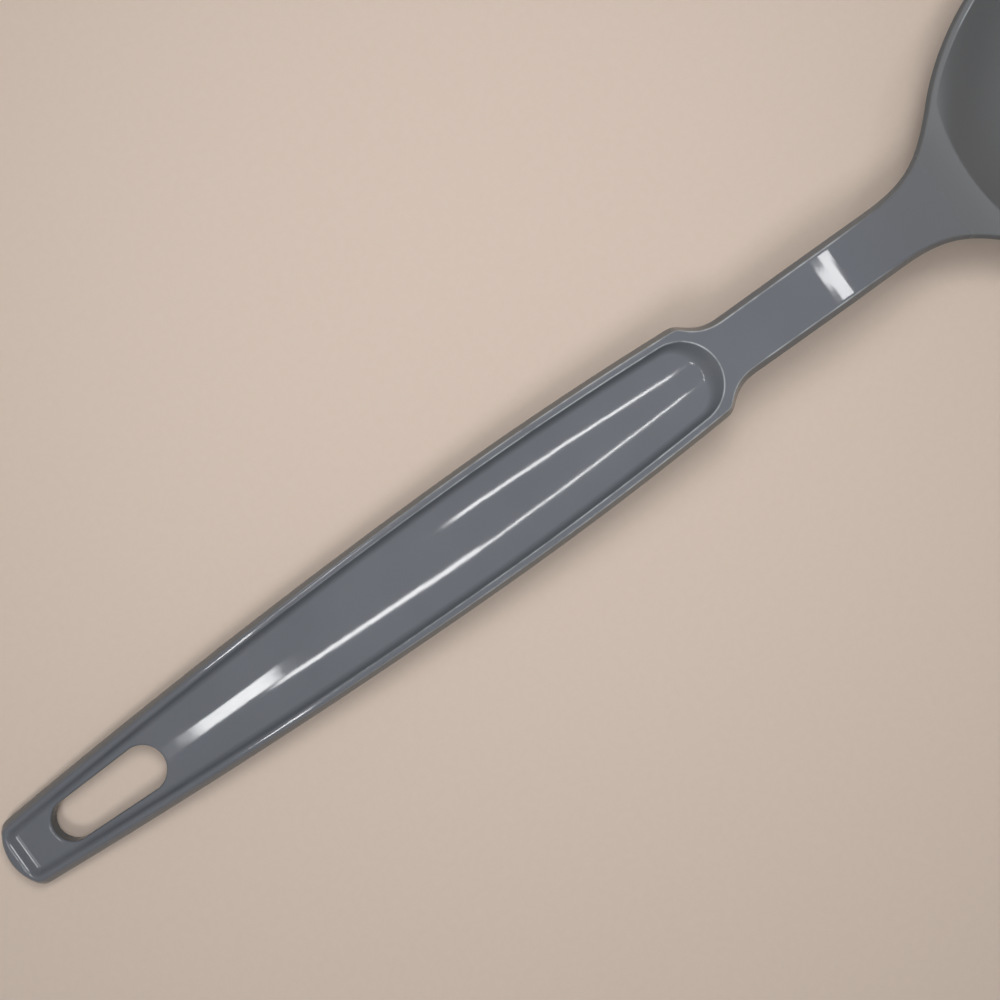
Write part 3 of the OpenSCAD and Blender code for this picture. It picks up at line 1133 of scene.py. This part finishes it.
@dataclass(frozen=True)
class MouldedNylon:
    """Nylon, injection moulded in a polished tool: blue-grey all through, glossy, scuffed."""

    colour: str = "#696c72"
    pale: str = "#6d7076"
    # Painted shade for steep walls, and the painted highlight for edges
    painted_wall_shade: str = "#565a5d"
    painted_highlight: str = "#c2c7ca"
    dull: str = "#707172"
    roughness: float = 0.06
    dull_roughness: float = 0.36
    # Shares of the roughness between and in the scuffed patches
    least_rough: float = 0.9
    most_rough: float = 1.25
    # Upward share of the normal on a wall that takes all the painted shade, and on a face that takes
    # none
    wall_up: float = 0.3
    flat_up: float = 0.65
    shine: float = 0.5
    dull_shine: float = 0.15
    ior: float = 1.53
    ripple_h: float = 0.02
    flow: Pattern = Pattern(24.0, 3.0, 0.55, 0.35, 0.65)
    highlight_noise: Pattern = Pattern(5.0, 3.0, 0.6, 0.2, 0.6)
    scuff: Pattern = Pattern(2.4, 4.0, 0.6, 0.35, 0.75)
    ripple: Pattern = Pattern(9.0, 4.0, 0.4)

    def material(self) -> bpy.types.Material:
        """Makes the material.

        Returns:
            The material, with its patterns on Object coordinates.
        """
        made = bpy.data.materials.new("nylon_injection_moulded_gloss")
        made.use_nodes = True
        tree = made.node_tree
        shader = tree.nodes["Principled BSDF"]
        shader.inputs["IOR"].default_value = self.ior
        place = {"Vector": add_node(tree, "ShaderNodeTexCoord").outputs["Object"]}
        # Pigment that flowed unevenly gives slow, faint changes of the grey
        flow = add_node(tree, "ShaderNodeTexNoise", self.flow.values(), place).outputs["Fac"]
        grey = add_node(tree, "ShaderNodeValToRGB", links={"Fac": flow})
        dark_end, pale_end = grey.color_ramp.elements
        dark_end.position, dark_end.color = self.flow.low, linear(self.colour)
        pale_end.position, pale_end.color = self.flow.high, linear(self.pale)
        # Scraping and stirring have dulled the inside of the bowl to a flat, neutral grey, and
        # most of the throat
        use = add_node(tree, "ShaderNodeAttribute", attribute_name=Mark.USE.value).outputs["Fac"]
        # Painted shade: steep faces are painted darker than flats, so that the walls look shaded
        normal = add_node(tree, "ShaderNodeNewGeometry").outputs["Normal"]
        upward = add_node(tree, "ShaderNodeSeparateXYZ", links={"Vector": normal}).outputs["Z"]
        steep = add_node(
            tree, "ShaderNodeMapRange",
            {"From Min": self.wall_up, "From Max": self.flat_up, "To Min": 1.0, "To Max": 0.0},
            {"Value": upward},
        ).outputs["Result"]
        # Painted highlight: the edges are painted pale, more in some places than in others
        edge = add_node(tree, "ShaderNodeAttribute", attribute_name=Mark.EDGE.value).outputs["Fac"]
        highlight_noise = add_node(tree, "ShaderNodeTexNoise", self.highlight_noise.values(), place).outputs["Fac"]
        highlight_share = add_node(
            tree, "ShaderNodeMapRange",
            {"From Min": self.highlight_noise.low, "From Max": self.highlight_noise.high, "To Min": 0.0},
            {"Value": highlight_noise, "To Max": edge},
        ).outputs["Result"]
        colour = grey.outputs["Color"]
        # Layers on the grey: the dulled bowl, painted shade on steep walls, painted highlight on
        # edges
        for tint, share in ((self.dull, use), (self.painted_wall_shade, steep), (self.painted_highlight, highlight_share)):
            layer = add_node(
                tree, "ShaderNodeMixRGB",
                {"Color2": linear(tint)}, {"Fac": share, "Color1": colour},
            )
            colour = layer.outputs["Color"]
        tree.links.new(colour, shader.inputs["Base Color"])
        # Steep walls and the used bowl also lose most of the shine, so that walls don't mirror the
        # table
        shine = add_node(
            tree, "ShaderNodeMapRange",
            {"To Min": self.shine, "To Max": self.dull_shine}, {"Value": steep},
        ).outputs["Result"]
        shone = add_node(
            tree, "ShaderNodeMapRange",
            {"To Max": self.dull_shine}, {"Value": use, "To Min": shine},
        ).outputs["Result"]
        tree.links.new(shone, shader.inputs["Specular IOR Level"])
        # Handling leaves soft cloudy patches that are a little less glossy
        cloud = add_node(tree, "ShaderNodeTexNoise", self.scuff.values(), place).outputs["Fac"]
        gloss = add_node(
            tree, "ShaderNodeMapRange",
            {
                "From Min": self.scuff.low, "From Max": self.scuff.high,
                "To Min": self.roughness * self.least_rough,
                "To Max": self.roughness * self.most_rough,
            },
            {"Value": cloud},
        ).outputs["Result"]
        dulled = add_node(
            tree, "ShaderNodeMapRange",
            {"To Max": self.dull_roughness}, {"Value": use, "To Min": gloss},
        ).outputs["Result"]
        tree.links.new(dulled, shader.inputs["Roughness"])
        # Sink marks and cooling leave a slow ripple, which makes the reflections waver
        ripple = add_node(tree, "ShaderNodeTexNoise", self.ripple.values(), place).outputs["Fac"]
        bump = add_node(
            tree, "ShaderNodeBump",
            {"Strength": 1.0, "Distance": self.ripple_h * MM}, {"Height": ripple},
        )
        tree.links.new(bump.outputs["Normal"], shader.inputs["Normal"])
        return made


@dataclass(frozen=True)
class MattTable:
    """Matt painted board: warm pale beige, with a fine tooth that breaks up the light."""

    colour: str = "#d3c1b3"
    pale: str = "#d7c6b8"
    roughness: float = 0.75
    tooth: Pattern = Pattern(1.6)
    tooth_h: float = 0.03
    tooth_strength: float = 0.4

    def material(self) -> bpy.types.Material:
        """Makes the material.

        Returns:
            The material, with its patterns on Object coordinates.
        """
        made = bpy.data.materials.new("board_painted_matt_beige")
        made.use_nodes = True
        tree = made.node_tree
        shader = tree.nodes["Principled BSDF"]
        shader.inputs["Roughness"].default_value = self.roughness
        place = {"Vector": add_node(tree, "ShaderNodeTexCoord").outputs["Object"]}
        tooth = add_node(tree, "ShaderNodeTexNoise", self.tooth.values(), place).outputs["Fac"]
        ramp = add_node(tree, "ShaderNodeValToRGB", links={"Fac": tooth})
        dark_end, pale_end = ramp.color_ramp.elements
        dark_end.color, pale_end.color = linear(self.colour), linear(self.pale)
        tree.links.new(ramp.outputs["Color"], shader.inputs["Base Color"])
        bump = add_node(
            tree, "ShaderNodeBump",
            {"Strength": self.tooth_strength, "Distance": self.tooth_h * MM}, {"Height": tooth},
        )
        tree.links.new(bump.outputs["Normal"], shader.inputs["Normal"])
        return made


@dataclass(frozen=True)
class Spoon:
    """The whole spoon: one moulding, cut at the planes between the CAD nodes, in one finish."""

    moulding: Moulding = field(default_factory=Moulding)
    finish: MouldedNylon = field(default_factory=MouldedNylon)
    body: str = "root"
    slot: str = "moulding"

    def planes(self) -> list[float]:
        """Stations of the planes between the zones, taken from the frame."""
        zones = list(Zone)[:-1]
        return [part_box(zone.value)[1].x / MM + self.moulding.plan.length / 2.0 for zone in zones]

    def make(self) -> list[bpy.types.Object]:
        """Builds and dresses every zone.

        Returns:
            The pieces, from the handle's end to the bowl.
        """
        planes = self.planes()
        every = self.moulding.stations(planes)
        limits = [0.0, *planes, self.moulding.plan.length]
        material = self.finish.material()
        pieces = []
        for zone, near, far in zip(Zone, limits[:-1], limits[1:]):
            piece = self.moulding.build(zone, near, far, every)
            piece.data.materials.append(material)
            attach(piece, self.body)
            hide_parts(zone.value)
            pieces.append(piece)
        return pieces


@dataclass(frozen=True)
class Lamp:
    """Soft rectangular lamp over the table, given by where it stands and how bright its face is."""

    name: str
    x: float
    y: float
    z: float
    length: float
    width: float
    radiance: float
    role: Role
    turn: float = 0.0

    def make(self) -> None:
        """Makes the lamp, facing straight down.

        Its power is its radiance times pi times its area. The camera doesn't see it.
        """
        data = bpy.data.lights.new(self.name, "AREA")
        data.shape = "RECTANGLE"
        data.size, data.size_y = self.length, self.width
        data.energy = self.radiance * np.pi * self.length * self.width
        lamp = bpy.data.objects.new(self.name, data)
        lamp.location = (self.x, self.y, self.z)
        lamp.rotation_euler = (0.0, 0.0, np.radians(self.turn))
        lamp.visible_camera = False
        setattr(lamp, self.role.value, False)
        bpy.context.scene.collection.objects.link(lamp)


@dataclass(frozen=True)
class Studio:
    """Plain table, soft lamps and an even surround. Lengths are metres."""

    table_side: float = 6.0
    surround: str = "#ffffff"
    ambient: float = 0.13
    backdrop: float = 0.75
    finish: MattTable = field(default_factory=MattTable)
    lamps: tuple[Lamp, ...] = (
        Lamp("lamp_overhead", 0.03, 0.065, 0.28, 0.08, 0.08, 11.5, Role.LIGHT),
        Lamp("lamp_fill", -0.018, 0.043, 0.28, 0.2, 0.2, 2.55, Role.LIGHT),
        Lamp("lamp_handle", -0.62, -0.39, 1.3, 0.36, 0.36, 16.0, Role.LIGHT),
        Lamp("lamp_bowl", 0.5, 0.0, 1.3, 0.2, 0.2, 7.0, Role.LIGHT),
        Lamp("strip_left_far", -0.49, 0.127, 1.2, 0.31, 0.043, 17.0, Role.GLINT, 9.6),
        Lamp("strip_left_near", -0.1875, 0.148, 1.2, 0.305, 0.021, 17.0, Role.GLINT, -3.0),
        Lamp("strip_left_end", -0.674, -0.012, 1.2, 0.078, 0.168, 17.0, Role.GLINT),
        Lamp("strip_right", -0.1925, -0.215, 1.2, 0.315, 0.03, 17.0, Role.GLINT, 10.0),
        Lamp("strip_neck", 0.57, 0.015, 1.2, 0.24, 0.03, 14.0, Role.GLINT),
        Lamp("strip_neck_middle", 0.47, -0.01, 1.2, 0.32, 0.028, 14.0, Role.GLINT),
        Lamp("strip_neck_side", 0.505, -0.0375, 1.2, 0.24, 0.035, 14.0, Role.GLINT),
    )

    def make_table(self) -> None:
        """Makes the table: a level square grid under the spoon."""
        s = np.linspace(-0.5, 0.5, 3) * self.table_side
        x, y = np.meshgrid(s, s, indexing="ij")
        points = np.stack([x, y, np.zeros_like(x)], axis=-1).reshape(-1, 3)
        n = np.arange(points.shape[0]).reshape(x.shape)
        quads = np.stack([n[:-1, :-1], n[1:, :-1], n[1:, 1:], n[:-1, 1:]], axis=-1).reshape(-1, 4)
        mesh = bpy.data.meshes.new("table_surface")
        mesh.from_pydata(points, [], quads.tolist())
        mesh.update()
        table = bpy.data.objects.new("table", mesh)
        table.data.materials.append(self.finish.material())
        bpy.context.scene.collection.objects.link(table)

    def make_surround(self) -> bpy.types.World:
        """Makes the room around: even dim light from all sides, and a paler backdrop to the eye.

        Returns:
            The world.
        """
        world = bpy.data.worlds.new("surround")
        world.use_nodes = True
        tree = world.node_tree
        background = tree.nodes["Background"]
        background.inputs["Color"].default_value = linear(self.surround)
        to_eye = add_node(tree, "ShaderNodeLightPath").outputs["Is Camera Ray"]
        seen = add_node(
            tree, "ShaderNodeMapRange",
            {"To Min": self.ambient, "To Max": self.backdrop}, {"Value": to_eye},
        ).outputs["Result"]
        tree.links.new(seen, background.inputs["Strength"])
        return world

    def make(self) -> None:
        """Makes the table, the lamps and the surround."""
        self.make_table()
        for lamp in self.lamps:
            lamp.make()
        scene = bpy.context.scene
        scene.world = self.make_surround()
        scene.view_settings.view_transform = "Standard"


@dataclass(frozen=True)
class Viewpoint:
    """Camera over the handle, looking straight down. Lengths are millimetres, in the row frame."""

    x: float = -30.0
    y: float = 2.2
    z: float = 254.0
    turn: float = -35.6
    focal_px: float = 1250.0
    frame_px: float = 1000.0
    sensor: float = 36.0
    nearest: float = 10.0
    farthest: float = 20000.0

    def make(self) -> None:
        """Makes the camera. The picture's upward direction is +Y, turned about +Z."""
        data = bpy.data.cameras.new("camera")
        data.sensor_width = self.sensor
        data.lens = self.sensor * self.focal_px / self.frame_px
        data.clip_start, data.clip_end = self.nearest * MM, self.farthest * MM
        camera = bpy.data.objects.new("camera", data)
        place = Matrix.Translation(Vector((self.x, self.y, self.z)) * MM)
        camera.matrix_world = place @ Matrix.Rotation(np.radians(self.turn), 4, "Z")
        bpy.context.scene.collection.objects.link(camera)
        bpy.context.scene.camera = camera


def main() -> None:
    """Builds the spoon, the studio and the camera, and reports each piece."""
    logging.basicConfig(level=logging.INFO, format="%(name)s: %(message)s")
    for piece in Spoon().make():
        mesh = piece.data
        log.info("%s: %d points, %d faces", piece.name, len(mesh.vertices), len(mesh.polygons))
    Studio().make()
    Viewpoint().make()


if __name__ == "__main__":
    main()
